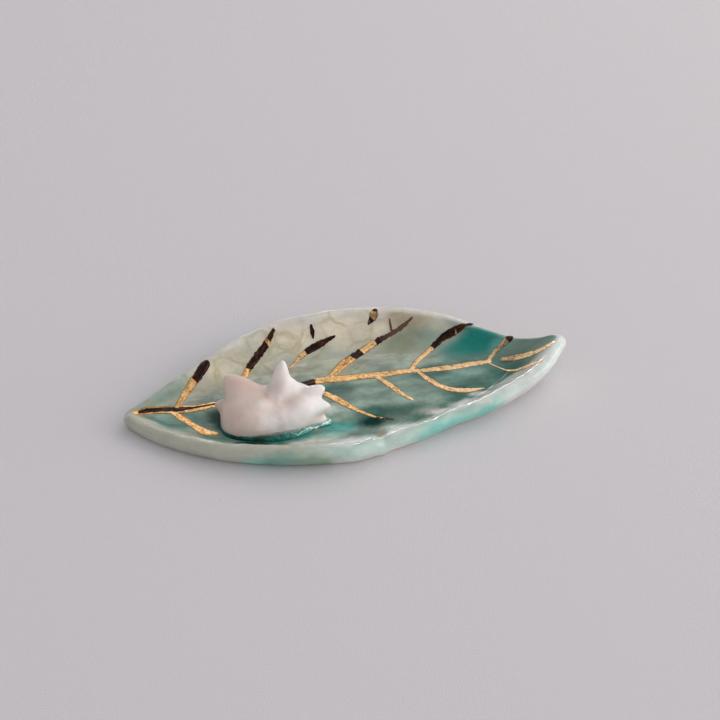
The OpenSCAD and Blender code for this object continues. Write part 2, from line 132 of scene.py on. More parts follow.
def spine(u):
    pull = LEFT_PULL * (1 - 2 * u) ** 2.2 if u < 0.5 else -RIGHT_PULL * (2 * u - 1) ** 2
    return Vector(((u - 0.5 + pull) * LEAF_L, TIP_Y + SPINE_BOW * sind(180 * u)))


def edge(u, side):
    return Vector(((u - 0.5) * LEAF_L, TIP_Y + side * half_width(u, side)))


def bezier(a, b, c, t):
    return a * (1 - t) ** 2 + b * 2 * t * (1 - t) + c * t * t


@lru_cache(maxsize=None)
def section(u, side):
    """Key points of a section as (distance from the spine, height)."""
    reach = (edge(u, side) - spine(u)).length
    r = SLAB_T / 2
    inner = mix(TIP_SLOPE, FAR_SLOPE if side > 0 else NEAR_SLOPE, fullness(u))
    outer = mix(TIP_UNDER, FAR_UNDER if side > 0 else NEAR_UNDER, fullness(u))
    hub = Vector((reach - r, rim_height(u, side) - r))
    crest = hub + r * Vector((-sind(inner), cosd(inner)))
    bend = Vector((crest.x - (crest.y - POOL_H) / math.tan(math.radians(inner)), POOL_H))
    sweep = mix(NEAR_SWEEP, FAR_SWEEP if side > 0 else NEAR_SWEEP, fullness(u))
    shore = Vector((bend.x - min(sweep, 0.4 * bend.x), POOL_H))
    heel = hub + r * Vector((sind(outer), -cosd(outer)))
    sole = Vector((heel.x - (heel.y + GRIND) / math.tan(math.radians(outer)), -GRIND))
    foot = Vector((sole.x - min(0.7 * heel.y, 0.5 * sole.x), -GRIND))
    return reach, r, inner, outer, hub, crest, bend, shore, heel, sole, foot


def in_space(u, side, p):
    start, end = spine(u), edge(u, side)
    flat = start + (end - start).normalized() * p.x
    return Vector((flat.x, flat.y, p.y))


def leaf_point(u, side, t):
    """Point of the clay at t: 0 spine, 1 shore, 2 crest, 3 heel, 4 foot, 5 spine below."""
    reach, r, inner, outer, hub, crest, bend, shore, heel, sole, foot = section(u, side)
    if t <= 1:
        p = Vector((shore.x * t, POOL_H - POOL_T * (1 - smoothstep(0.8, 1, t))))
    elif t <= 2:
        p = bezier(shore, bend, crest, t - 1)
    elif t <= 3:
        a = mix(90 + inner, outer - 90, t - 2)
        p = hub + r * Vector((cosd(a), sind(a)))
    elif t <= 4:
        p = bezier(heel, sole, foot, t - 3)
    else:
        p = Vector((foot.x * (5 - t), -GRIND))
    return in_space(u, side, p)


def loop(a):
    """Share of the length and side at a share a of the way round: the far half from left to right, then back."""
    u, side = (2 * a, 1) if a <= 0.5 else (2 - 2 * a, -1)
    return u - 0.1 * math.sin(2 * math.pi * u), side


# Painting and making meshes
def linear(code):
    """A colour written as sRGB hex, turned to linear."""
    values = [int(code[i:i + 2], 16) / 255 for i in (1, 3, 5)]
    return [v / 12.92 if v <= 0.04045 else ((v + 0.055) / 1.055) ** 2.4 for v in values] + [1]


# Glazes and glasses of the dish, as they look where they lie thick enough to hide the clay; white, snow and peach
# also serve below for painted highlights and painted light
GLAZE = {name: Vector(linear(code)) for name, code in {
    "snow": "#EEF0ED", "white": "#DCDED9", "chalk": "#D0CCC4", "ice": "#D3DDD6", "ivory": "#DCD1BD", "cream": "#CEC8B6",
    "stone": "#B0AE9E", "tan": "#A5937A", "haze": "#A9ACA0", "aqua": "#A9BDB4", "mist": "#8A9F92", "sea": "#5F8378", "slate": "#456A60",
    "teal": "#007E75", "lagoon": "#5FA8A0", "deep": "#04302A", "olive": "#A1A48A", "lichen": "#8C937F", "moss": "#8FAA8E",
    "celadon": "#9CC4B6", "bright": "#84C6BB", "peach": "#F0DCC8"}.items()}
# Bands of glaze from the spine (0) over the shore (1) and the crest (2) to the heel (3) and the foot (4). On the near
# side the white at the crest is partly a painted highlight, and the outer wall runs from aqua below the crest to
# white and peach near the foot, partly painted shade at the top and painted light low down over the floor's shade;
# the peach at the foot is also the warm unglazed foot
FAR_BANDS = [(0, "mist"), (0.9, "haze"), (1.15, "haze"), (1.45, "cream"), (1.8, "ivory"), (2.1, "chalk"), (2.6, "chalk"), (3, "ice"),
             (3.7, "aqua"), (4, "peach")]
NEAR_BANDS = [(0, "mist"), (0.85, "mist"), (1, "sea"), (1.3, "mist"), (1.55, "ice"), (1.75, "white"), (2.1, "white"),
              (2.4, "aqua"), (3, "ice"), (3.5, "white"), (3.8, "peach"), (4, "peach")]
# Patches of glaze that ran together in the hollow, some also standing for painted shadow and highlight as noted
# below: glaze, x, y, half sizes in mm, strength
INSIDE_PATCHES = [
    # The deep patch at x -29.5, left of the shell, is partly dark glass and partly the shell's shadow painted on the
    # pool
    ("mist", -41, 7, 9, 5, 1), ("sea", -37, -3, 8, 5, 0.6), ("aqua", -40, -6, 7, 2.5, 0.5), ("deep", -29.5, -5, 4, 7, 0.85),
    ("stone", -38, -8, 7, 2.5, 0.6), ("sea", -34, -11.5, 14, 2.4, 0.7), ("slate", -25, -14, 7, 2, 0.8),
    ("stone", -12, 9, 12, 4, 0.7), ("olive", 0, 8, 9, 4, 0.7), ("haze", -17, 15, 8, 3, 0.5),
    # The slate and deep patches between x -3 and 11 are partly dark glaze and partly painted shadow of rings that lay
    # in the dish
    ("slate", -3, 0.5, 7, 3.5, 0.8), ("lagoon", -5, -12, 6, 3, 1), ("ice", -5, -6, 4, 2.5, 0.8),
    # The snow patches at x -3 here and at x 1 further down are partly white glaze on the near crest and partly a
    # painted highlight along it
    ("snow", -3, -18.5, 14, 3.2, 1), ("celadon", -9, -14.8, 7, 1.4, 0.8), ("slate", 4, -9, 7, 3.5, 1),
    ("deep", 3, -12, 6.5, 3.2, 1), ("slate", 11, -9.5, 7, 3, 0.8), ("ice", 8, -15.6, 6, 2, 1), ("haze", 16, -11, 4, 1.6, 0.9),
    ("tan", 19, 17.5, 10, 3.6, 0.7), ("lichen", 16, 13, 11, 5, 1), ("mist", 22.5, 12, 5, 4, 0.8), ("slate", 19, 2.5, 8, 4, 0.85),
    ("teal", 31.5, 8.8, 11, 5.5, 1), ("lagoon", 36, 6, 4, 2, 0.6), ("slate", 36, 0, 7, 4.5, 0.9),
    ("slate", 27, -6.5, 9, 3.5, 0.7), ("aqua", 28, 1, 4, 2, 0.3), ("olive", 4, -18, 2.4, 3.6, 1),
    ("snow", 1, -20.5, 2, 1.6, 1), ("deep", -23.5, -13.8, 6, 1.8, 0.9), ("teal", -15, -13.6, 7, 1.6, 0.7),
    ("peach", 42, -3.5, 4, 1.4, 0.3), ("stone", -30.5, 8, 6, 3.5, 0.8), ("stone", -24, 13.5, 9, 4, 0.4),
    # The white patches from x 18.5 to 33 are partly pale glaze and partly a painted highlight along the inner side of
    # the near crest
    ("chalk", -12, -16.2, 8, 1.6, 0.85), ("white", 18.5, -11.8, 4, 1.4, 1), ("white", 23.5, -9.7, 4, 1.4, 0.9),
    ("white", 28.5, -7.9, 4, 1.4, 0.9), ("white", 33, -6.2, 3.5, 1.2, 0.6),
]
# Patches on the outer wall: glaze, x and half length in mm, place and half height in the terms of the bands, strength.
# The white one at x 31 is painted light that lifts a shaded band below the crest at the right.
OUTSIDE_PATCHES = [
    ("celadon", -20, 10, 3.4, 1, 0.9), ("bright", -22, 8, 3.7, 0.9, 0.9), ("sea", -18.5, 6, 3.3, 1, 0.55),
    ("moss", -12, 7, 3.4, 1, 1), ("celadon", -2, 12, 3, 0.6, 0.3), ("celadon", 16, 11, 2.9, 0.8, 0.6),
    ("snow", 45, 13, 2.4, 1.6, 0.45), ("ice", -33, 14, 1.95, 0.4, 0.5), ("white", 31, 15, 2.2, 0.4, 0.9), ("bright", 19, 14, 3.1, 0.7, 0.9), ("bright", 29, 6, 3, 0.6, 1),
]


def banded(stops, x):
    return between([(position, GLAZE[name]) for position, name in stops], x)


def glaze_at(p, t, side):
    """Colour of the glaze, with the painted light and shade of its bands and patches, at a point of the section, t;
    side runs from -1 on the near edge to 1 on the far one.
    """
    drift = noise.noise_vector(p * 0.15) * 1.2 + noise.noise_vector(p * 0.5) * 0.8
    wave = 0.2 * noise.noise(p * 0.2 + Vector((4, 0, 9))) * min(1, t)
    colour = banded(NEAR_BANDS, t + wave).lerp(banded(FAR_BANDS, t + wave), smoothstep(-0.15, 0.15, side))
    far_half = smoothstep(-0.2, 0.2, side)
    right = smoothstep(17, 25, p.x + drift.x - 6 * far_half * smoothstep(1.2, 1.7, t))
    inside, outside = 1 - smoothstep(1.9, 2.2, t - 0.25 * far_half * right), smoothstep(1.7, 2.2, t - 0.7 * far_half)
    # The right end is sea green nearly to its crest, the left end mossy on the far side and greyer on the near one, the
    # grey partly the glaze and partly painted shade where that side turns from the light
    sea_end = mix(1.36 + 0.5 * smoothstep(34, 42, p.x), 2.1, far_half)
    colour = colour.lerp(GLAZE["sea"], 0.9 * right * (1 - smoothstep(sea_end - 0.1, sea_end + 0.15, t)))
    grey_and_shade = smoothstep(1.2, 1.7, t) * smoothstep(-4, -20, p.x + drift.x) * (1 - far_half)
    colour = colour.lerp(GLAZE["stone"], 0.85 * grey_and_shade)
    colour = colour.lerp(GLAZE["mist"], 0.8 * smoothstep(1.2, 1.7, t) * smoothstep(-30, -38, p.x + drift.x) * far_half)
    for name, x, y, rx, ry, strength in INSIDE_PATCHES if inside > 0 else []:
        far = math.hypot((p.x + drift.x - x) / rx, (p.y + 0.6 * drift.y - y) / ry)
        colour = colour.lerp(GLAZE[name], inside * strength * (1 - smoothstep(0.3, 1, far)))
    # The back of the leaf has the front's patches the other way round
    along = p.x if side < 0 else -p.x
    for name, x, length, place, height, strength in OUTSIDE_PATCHES if outside > 0 else []:
        far = math.hypot((along + 1.5 * drift.x - x) / length, (t + 0.2 * drift.y - place) / height)
        colour = colour.lerp(GLAZE[name], outside * strength * (1 - smoothstep(0.3, 1, far)))
    return colour


def draped_grid(name, nx, ny, place, welds=1e-7):
    """A grid of nx by ny cells with each vertex put where place(i/nx, j/ny) says, its seams merged. place gives the
    point in mm, the colour painted there, and three numbers that the material reads."""
    bm = bmesh.new()
    tint = bm.verts.layers.float_color.new("tint")
    spread = bm.verts.layers.float_vector.new("spread")
    bmesh.ops.create_grid(bm, x_segments=nx, y_segments=ny, size=1)
    for v in bm.verts:
        i, j = round((v.co.x + 1) / 2 * nx), round((v.co.y + 1) / 2 * ny)
        p, v[tint], v[spread] = place(i / nx, j / ny)
        v.co = p * MM
    bmesh.ops.remove_doubles(bm, verts=bm.verts, dist=welds)
    bmesh.ops.recalc_face_normals(bm, faces=bm.faces)
    for f in bm.faces:
        f.smooth = True
    for e in bm.edges:
        e.smooth = e.calc_face_angle(0) < 1
    mesh = bpy.data.meshes.new(name)
    bm.to_mesh(mesh)
    bm.free()
    piece = bpy.data.objects.new(name, mesh)
    scene.collection.objects.link(piece)
    return piece


def finish_piece(piece, slot, material, *nodes):
    piece.data.materials.append(material)
    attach(piece, "root")
    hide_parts(*nodes)
    return piece


# Materials
def new_tree(name):
    material = bpy.data.materials.new(name)
    material.use_nodes = True
    material.node_tree.nodes.clear()
    return material, material.node_tree


def add(tree, kind, inputs=None, out=0, stops=None, **settings):
    """Adds a node with its settings and colour stops, fills or links its inputs, and returns one of its outputs."""
    node = tree.nodes.new("ShaderNode" + kind)
    for key, value in settings.items():
        setattr(node, key, value)
    for key, value in (inputs or {}).items():
        if isinstance(value, bpy.types.NodeSocket):
            tree.links.new(value, node.inputs[key])
        else:
            node.inputs[key].default_value = value
    for position, colour in stops or []:
        ramp = node.color_ramp
        cell = ramp.elements.new(position)
        cell.color = linear(colour)
    if stops:
        ramp.elements.remove(ramp.elements[0])
        ramp.elements.remove(ramp.elements[-1])
    return node.outputs[out] if node.outputs else node


def in_millimetres(tree):
    place = add(tree, "TexCoord", out="Object")
    return add(tree, "VectorMath", {0: place, "Scale": 1000.0}, operation="SCALE")


def noise_step(tree, place, scale, low, high, detail=3.0, to=(0.0, 1.0)):
    """Noise with scale waves a mm, stretched by a smooth step between low and high to the range that to gives."""
    raw = add(tree, "TexNoise", {"Vector": place, "Scale": scale, "Detail": detail})
    return add(tree, "MapRange", {"Value": raw, "From Min": low, "From Max": high, "To Min": to[0], "To Max": to[1]},
               interpolation_type="SMOOTHSTEP")


def craze(tree, place, scale, strength):
    """Soft net of lines between rounded cells, scale of them a mm, with smudges where cells meet."""
    edge_far = add(tree, "TexVoronoi", {"Vector": place, "Scale": scale}, feature="DISTANCE_TO_EDGE")
    line = add(tree, "MapRange", {"Value": edge_far, "From Max": 0.12, "To Min": strength, "To Max": 0.0},
               interpolation_type="SMOOTHSTEP")
    far = add(tree, "TexVoronoi", {"Vector": place, "Scale": scale, "Smoothness": 0.25}, feature="SMOOTH_F1")
    smudge = add(tree, "MapRange", {"Value": far, "From Min": 0.5, "From Max": 0.85, "To Max": 0.5 * strength},
                 interpolation_type="SMOOTHSTEP")
    return add(tree, "Math", {0: line, 1: smudge}, operation="MAXIMUM")


def glaze_material(name, depth, shine, streaks):
    """Crackle glaze over porcelain: a thick glassy coat with sharp reflections. It is cream where it is thin and teal
    where it ran together, with a soft olive net of craze in it on the walls of the hollow."""
    material, tree = new_tree(name)
    place = in_millimetres(tree)
    painted = add(tree, "Attribute", out="Color", attribute_name="tint")
    spread = add(tree, "Attribute", out="Vector", attribute_name="spread")
    crazing = add(tree, "SeparateXYZ", {0: spread}, out=2)
    dry = add(tree, "SeparateXYZ", {0: spread}, out=0)
    dull = add(tree, "SeparateXYZ", {0: spread}, out=1)
    # The net bends with a slow drift, and its cells are 4 mm across low on the wall and 2 mm near the rim
    drift = add(tree, "TexNoise", {"Vector": place, "Scale": 0.25, "Detail": 2.0}, out="Color")
    bent = add(tree, "VectorMath", {0: drift, 1: (2.4, 2.4, 2.4), 2: place}, operation="MULTIPLY_ADD")
    coarse = craze(tree, bent, 0.16, 0.6)
    fine = craze(tree, bent, 0.38, 0.2)
    net = add(tree, "Math", {0: coarse, 1: fine}, operation="MAXIMUM")
    fade = noise_step(tree, place, 0.16, 0.36, 0.6, 2.0, (0.25, 1.0))
    net = add(tree, "Math", {0: net, 1: fade}, operation="MULTIPLY")
    net = add(tree, "Math", {0: net, 1: crazing}, operation="MULTIPLY")
    colour = add(tree, "Mix", {0: net, 6: painted, 7: linear("#9A925E")}, out=2, data_type="RGBA")
    # Long streaks run with the leaf
    lengthwise = add(tree, "VectorMath", {0: bent, 1: (0.45, 1.0, 1.0)}, operation="MULTIPLY")
    streak = noise_step(tree, lengthwise, 0.3, 0.3, 0.7, 4.0, (1 - streaks, 1 + streaks))
    colour = add(tree, "VectorMath", {0: colour, "Scale": streak}, operation="SCALE")
    speckle = noise_step(tree, lengthwise, 1.3, 0.35, 0.65, 4.0, (1 - 0.25 * streaks, 1 + 0.25 * streaks))
    colour = add(tree, "VectorMath", {0: colour, "Scale": speckle}, operation="SCALE")
    rough = add(tree, "MapRange", {"Value": dry, "To Min": 0.08, "To Max": 0.5})
    level = add(tree, "MapRange", {"Value": dull, "To Min": shine, "To Max": 0.03})
    ripples = add(tree, "TexNoise", {"Vector": place, "Scale": 0.45, "Detail": 2.5})
    relief = add(tree, "Bump", {"Height": ripples, "Strength": 0.3, "Distance": 0.0005})
    shader = add(tree, "BsdfPrincipled", {
        "Base Color": colour, "Roughness": rough, "IOR": 1.5, "Specular IOR Level": level, "Normal": relief,
        "Subsurface Weight": depth,
        "Subsurface Radius": (1.0, 0.95, 0.85), "Subsurface Scale": 0.002})
    add(tree, "OutputMaterial", {"Surface": shader})
    return material


def gold_material():
    """Gold lustre fired over the glaze: a bright film of metal with fine cracks and lost flecks that show brown. On
    the steep far wall it is painted a glossy dark brown with gold left in it, a painted reflection of the dark front
    of the room, which at some stroke ends turns to a thin brown wash."""
    material, tree = new_tree("fired gold lustre")
    place = in_millimetres(tree)
    spread = add(tree, "Attribute", out="Vector", attribute_name="spread")
    reflection_and_wash = add(tree, "SeparateXYZ", {0: spread}, out=2)
    # Spread runs in mm along the stroke and from -1 to 1 across it, so this grain lies along the stroke
    lengthwise = add(tree, "VectorMath", {0: spread, 1: (0.4, 1.7, 0.0)}, operation="MULTIPLY")
    crack = noise_step(tree, lengthwise, 1.0, 0.5, 0.53, 6.0)
    crack = add(tree, "Math", {0: crack, 1: -1.0, 2: 1.0}, operation="MULTIPLY_ADD")
    seam = noise_step(tree, lengthwise, 1.0, 0.47, 0.5, 6.0)
    crack = add(tree, "Math", {0: crack, 1: seam}, operation="MULTIPLY")
    fleck = noise_step(tree, place, 1.6, 0.64, 0.7, 5.0)
    lost = add(tree, "Math", {0: crack, 1: fleck}, operation="MAXIMUM")
    # The film thins out to brown along both edges of a stroke
    across = add(tree, "SeparateXYZ", {0: spread}, out=1)
    across = add(tree, "Math", {0: across}, operation="ABSOLUTE")
    thin = add(tree, "MapRange", {"Value": across, "From Min": 0.7, "From Max": 0.95, "To Max": 0.8},
               interpolation_type="SMOOTHSTEP")
    lost = add(tree, "Math", {0: lost, 1: thin}, operation="MAXIMUM")
    tone = noise_step(tree, place, 0.9, 0.35, 0.65)
    bright = add(tree, "Mix", {0: tone, 6: linear("#F0C890"), 7: linear("#DCA465")}, out=2, data_type="RGBA")
    # The film is paler towards the right end
    right = add(tree, "SeparateXYZ", {0: place}, out=0)
    right = add(tree, "MapRange", {"Value": right, "From Min": 0.0, "From Max": 35.0, "To Max": 0.55})
    bright = add(tree, "Mix", {0: right, 6: bright, 7: linear("#F6DDB8")}, out=2, data_type="RGBA")
    brown = add(tree, "Mix", {0: lost, 6: bright, 7: linear("#5A3019")}, out=2, data_type="RGBA")
    # Painted reflection: the dark look stands for the dark room mirrored in the gold, and above a share of 1 for a
    # brown wash
    dark = noise_step(tree, lengthwise, 1.2, 0.46, 0.68, 5.0)
    dark = add(tree, "Mix", {0: dark, 6: linear("#120503"), 7: linear("#5C2E16")}, out=2, data_type="RGBA")
    wash = add(tree, "MapRange", {"Value": reflection_and_wash, "From Min": 1.0, "From Max": 1.4})
    dark = add(tree, "Mix", {0: wash, 6: dark, 7: linear("#6B4C42")}, out=2, data_type="RGBA")
    ragged = add(tree, "TexNoise", {"Vector": place, "Scale": 1.2, "Detail": 4.0})
    ragged = add(tree, "Math", {0: ragged, 1: 0.5, 2: reflection_and_wash}, operation="MULTIPLY_ADD")
    dark_reflection_and_wash = add(tree, "MapRange", {"Value": ragged, "From Min": 0.68, "From Max": 0.8}, interpolation_type="SMOOTHSTEP")
    colour = add(tree, "Mix", {0: dark_reflection_and_wash, 6: brown, 7: dark}, out=2, data_type="RGBA")
    metal = add(tree, "MapRange", {"Value": dark_reflection_and_wash, "To Min": 1.0, "To Max": 0.0})
    shine = add(tree, "MapRange", {"Value": dark_reflection_and_wash, "To Min": 0.5, "To Max": 0.15})
    rough = noise_step(tree, place, 1.4, 0.3, 0.7, 4.0, (0.3, 0.45))
    relief = add(tree, "Bump", {"Height": rough, "Strength": 0.25, "Distance": 0.0002})
    shader = add(tree, "BsdfPrincipled", {
        "Base Color": colour, "Metallic": metal, "Roughness": rough, "Specular IOR Level": shine, "Normal": relief})
    add(tree, "OutputMaterial", {"Surface": shader})
    return material


def shell_material():
    """Weathered seashell: matt chalky lime with a pinkish cast, smooth and a little see-through, browner in its
    folds and on its left flank where shade is painted in, paler where highlights are painted, with a fine grain."""
    material, tree = new_tree("weathered matt seashell")
    place = in_millimetres(tree)
    painted = add(tree, "Attribute", out="Color", attribute_name="tint")
    cloud = noise_step(tree, place, 0.3, 0.3, 0.7, 4.0, (0.94, 1.05))
    colour = add(tree, "VectorMath", {0: painted, "Scale": cloud}, operation="SCALE")
    grain = add(tree, "TexNoise", {"Vector": place, "Scale": 2.5, "Detail": 4.0})
    relief = add(tree, "Bump", {"Height": grain, "Strength": 0.15, "Distance": 0.0003})
    shader = add(tree, "BsdfPrincipled", {
        "Base Color": colour, "Roughness": 0.5, "IOR": 1.5, "Normal": relief, "Subsurface Weight": 0.3,
        "Subsurface Radius": (1.0, 0.7, 0.6), "Subsurface Scale": 0.0015})
    add(tree, "OutputMaterial", {"Surface": shader})
    return material


def bead_material():
    """Thick teal glass melted against the shell: nearly black green where it is deep, teal where it thins out, with
    a lumpy wet surface that sparkles."""
    material, tree = new_tree("deep teal melted glass")
    place = in_millimetres(tree)
    painted = add(tree, "Attribute", out="Color", attribute_name="tint")
    cloud = noise_step(tree, place, 1.3, 0.32, 0.68, 5.0, (0.7, 1.35))
    colour = add(tree, "VectorMath", {0: painted, "Scale": cloud}, operation="SCALE")
    lumps = add(tree, "TexNoise", {"Vector": place, "Scale": 1.6, "Detail": 3.0})
    relief = add(tree, "Bump", {"Height": lumps, "Strength": 0.4, "Distance": 0.0006})
    shader = add(tree, "BsdfPrincipled", {"Base Color": colour, "Roughness": 0.06, "IOR": 1.5, "Normal": relief})
    add(tree, "OutputMaterial", {"Surface": shader})
    return material


porcelain = glaze_material("crackle glaze on porcelain", 0.35, 0.35, 0.08)
pool_glass = glaze_material("teal glass pooled in the hollow", 0.0, 0.12, 0.28)
gold = gold_material()
seashell = shell_material()
bead_glass = bead_material()

# Leaf and pool
LEAF_ROWS = [(0, 0.0), (0.14, 0.8), (0.2, 1.0), (0.48, 2.0), (0.68, 3.0), (0.86, 4.0), (1.0, 5.0)]


def lean_of(u, side, t):
    """Share of the way to the edge, below 0 on the near side, and near 0 at the tips."""
    return side * min(1, 0.5 * t) * min(1, half_width(u, side) / 9)


def read_by_glaze(x, t, lean):
    """How dry the glaze is, how dull, and the craze: full on the far wall, weaker on the near one and in the pool."""
    near = 1 - smoothstep(-0.2, 0.2, lean)
    dry = max(smoothstep(1.7, 2.1, t) * (1 - near), near * smoothstep(-10, -18, x))
    dull = near * smoothstep(0.45, 0.75, t) * (1 - smoothstep(1.6, 1.75, t))
    wall = smoothstep(0.6, 1.3, t) * (1 - smoothstep(2.1, 2.5, t))
    return dry, dull, wall * mix(0.2, 0.8, smoothstep(-0.1, 0.3, lean)) * (1 - 0.85 * smoothstep(12, 24, x))


def place_leaf(i, j):
    u, side = loop(i)
    t = between(LEAF_ROWS, j)
    p = leaf_point(u, side, t)
    wall = smoothstep(1.0, 1.6, t) * (1 - smoothstep(3.2, 4.0, t)) * fullness(u)
    lump = (0.25 * noise.noise(p * 0.13) + 0.16 * noise.noise(p * 0.4 + Vector((7, 3, 1)))
            + 0.07 * noise.noise(p * 0.9 + Vector((1, 8, 4))))
    # The near crest is wavy
    lump += 0.3 * noise.noise(p * 0.5 + Vector((3, 0, 0))) * (1 - smoothstep(0.2, 0.9, abs(t - 2.1))) * (side < 0)
    p = p + Vector((0, 0.4 * lump, lump * mix(1, -0.5, smoothstep(2.2, 2.8, t)))) * wall
    p.z = max(0, p.z)
    lean = lean_of(u, side, t)
    return p, glaze_at(p, t, lean), read_by_glaze(p.x, t, lean)


leaf = finish_piece(draped_grid("leaf_body", 460, 110, place_leaf), "porcelain", porcelain, "leaf_body")


def place_pool(i, j):
    """j runs over the top to the shore and back underneath."""
    u, side = loop(i)
    shore = section(u, side)[7]
    t = 1 - abs(2 * j - 1)
    q = in_space(u, side, Vector((shore.x * t, POOL_H if j <= 0.5 else POOL_H - POOL_T * (1 - smoothstep(0.8, 1, t)))))
    if j < 0.5:
        q.z += 0.05 * noise.noise(q * 0.3) * (1 - smoothstep(0.8, 1, t))
    lean = lean_of(u, side, t)
    return q, glaze_at(q, t, lean), read_by_glaze(q.x, t, lean)


pool = finish_piece(draped_grid("glaze_pool", 240, 64, place_pool), "pool_glass", pool_glass, "glaze_pool")

skin_mesh = bmesh.new()
skin_mesh.from_mesh(leaf.data)
skin_mesh.from_mesh(pool.data)
skin = BVHTree.FromBMesh(skin_mesh)


def skin_height(x, y):
    hit = skin.ray_cast(Vector((x * MM, y * MM, 0.05)), Vector((0, 0, -1)))[0]
    return hit.z / MM if hit else POOL_H


# Shell and its bead of glass
NEAR_SHORE = in_space(SHELL_U, -1, section(SHELL_U, -1)[7])
SHELL_HUB = Vector((spine(SHELL_U).x, NEAR_SHORE.y + SHELL_GAP + SHELL_NEAR_D, POOL_H + SHELL_MID_H))
# Its colour runs from a browner pink at the left flank to nearly white at the right one, painted shade on the flank
# turned from the light and a paler lit side
PINK, SHADE, BROWN_AND_SHADE = (Vector(linear(code)) for code in ("#ECE6E3", "#DAC6BC", "#B08A78"))
# Grooves and dimples: azimuth, elevation, spread, depth in mm, share of brown (painted shade in the grooves, with
# a few real brown spots), and below 0 swellings and paler, a painted highlight
FOLDS = [(-158, 66, 13, 0.2, 0.5), (-100, 64, 16, 0.35, 0.3), (0, 77, 12, 0.1, 0.35), (-70, 44, 14, 0.2, 0.35),
         (-42, 46, 14, 0.3, 0.4), (-18, 41, 12, 0.2, 0.35), (160, 48, 12, 0, 0.5), (-133, 47, 12, -0.15, -0.3),
         (49.5, 69, 14, 0, -0.15), (-30, 17, 12, -0.2, -0.15), (-115, 12, 18, 0, -0.6), (-160, 18, 16, 0, 0.15),
         (-20, 3, 8, 0.15, 0.4), (-34, -6, 9, 0, 0.3)]


def aim(azimuth, elevation):
    return Vector((cosd(elevation) * cosd(azimuth), cosd(elevation) * sind(azimuth), sind(elevation)))


def apart(n, azimuth, elevation):
    return math.degrees(math.acos(max(-1, min(1, n.dot(aim(azimuth, elevation))))))


def shell_r(azimuth, elevation):
    n = aim(azimuth, elevation)
    plain = ((abs(n.x) / SHELL_HALF_L) ** SHELL_SQUARENESS
             + (abs(n.y) / (SHELL_NEAR_D if n.y < 0 else SHELL_FAR_D)) ** SHELL_SQUARENESS
             + (abs(n.z) / SHELL_BACK_H) ** SHELL_SQUARENESS) ** (-1 / SHELL_SQUARENESS)
    return plain + sum(HORN_L * length * math.exp(-(apart(n, az, el) / spread) ** sharpness)
                       for az, el, length, spread, sharpness in HORNS)


@lru_cache(maxsize=None)
def shell_reach(azimuth, z):
    found = 10
    for _ in range(10):
        elevation = math.degrees(math.atan2(z - SHELL_HUB.z, found))
        found = mix(found, shell_r(azimuth, elevation) * cosd(elevation), 0.6)
    return found


def place_shell(i, j):
    az = 360 * i
    foot = shell_reach(az, POOL_H)
    flat = Vector((SHELL_HUB.x, SHELL_HUB.y, 0))
    if j < 0.1:
        z = POOL_H - SHELL_SEAT * (1 - max(0, j - 0.06) / 0.04)
        return flat + min(1, j / 0.06) * foot * aim(az, 0) + Vector((0, 0, z)), PINK, (0, 0, 0)
    low = math.degrees(math.atan2(POOL_H - SHELL_HUB.z, foot))
    el = mix(low, 90, ((j - 0.1) / 0.9) ** 1.1)
    n = aim(az, el)
    near = [math.exp(-(apart(n, a, e) / spread) ** 2) for a, e, spread, depth, brown in FOLDS]
    uneven = 0.2 * noise.noise(n * 3) + 0.03 * noise.noise(n * 8)
    settled = smoothstep(0.1, 0.22, j)
    r = shell_r(az, el) + (uneven - sum(k * fold[3] for k, fold in zip(near, FOLDS))) * settled
    # Painted shade: darker on the faces turned to the left, away from the light, paler on those turned to the right
    colour = SHADE.lerp(PINK, smoothstep(-1, 0.75, n.x + 0.35 * noise.noise(n * 2.6 + Vector((3, 1, 2)))))
    # Painted shade browns the grooves and dimples, with a few real brown spots, and a painted highlight pales the
    # swellings
    colour = colour.lerp(BROWN_AND_SHADE, min(1, sum(k * fold[4] for k, fold in zip(near, FOLDS))))
    return SHELL_HUB + r * n, colour, (0, 0, 0)


shell = finish_piece(draped_grid("shell", 220, 130, place_shell), "bisque", seashell, "shell")


def place_bead(i, j):
    """j runs out along the pool, up over the bead and down again inside the shell."""
    az = 360 * i
    low, high = shell_reach(az, POOL_H), shell_reach(az, POOL_H + BEAD_H)
    width = min(BEAD_W, SHELL_GAP - 0.1) * mix(0.2, 1, max(0, -sind(az - 10)) ** 1.6)
    if j < 0.2:
        reach, z = low - 0.3 + (width + 0.3) * j / 0.2, POOL_H - 0.02
    elif j < 0.8:
        a = 90 * (j - 0.2) / 0.6
        reach, z = mix(low, high, sind(a)) + width * cosd(a), POOL_H - 0.02 + (BEAD_H + 0.02) * sind(a)
    else:
        t = (j - 0.8) / 0.2
        reach, z = mix(high, low, t) - 0.3 * t, mix(POOL_H + BEAD_H, POOL_H - 0.02, t)
    p = SHELL_HUB + reach * aim(az, 0)
    p.z = z + 0.16 * noise.noise(p * 1.1) * (smoothstep(0.2, 0.35, j) * (1 - smoothstep(0.7, 0.8, j)))
    right = smoothstep(-21, -13, p.x)
    patch = smoothstep(-0.3, 0.3, noise.noise(p * 0.5 + Vector((5, 2, 0))))
    colour = GLAZE["deep"].lerp(GLAZE["teal"], mix(0.05 + 0.3 * patch, 0.8 + 0.2 * patch, right))
    colour = colour.lerp(GLAZE["bright"], smoothstep(-18, -9, p.x) * smoothstep(0.2, 0.6, j) * (0.4 + 0.5 * patch))
    # A veil of thin glass climbs the shell, and below it at the right a wavy white line is a painted reflection along
    # the top of the bead
    colour = colour.lerp(GLAZE["stone"], 0.7 * smoothstep(0.6, 0.8, j))
    painted_glint = 1 - smoothstep(0.03, 0.1, abs(j - 0.52 - 0.3 * noise.noise(p * 0.9 + Vector((2, 2, 6)))))
    colour = colour.lerp(GLAZE["snow"], 0.9 * painted_glint * smoothstep(-16, -12, p.x))
    return p, colour, (0, 0, 0)


bead = finish_piece(draped_grid("glass_bead", 260, 30, place_bead), "bead_glass", bead_glass, "glass_bead")
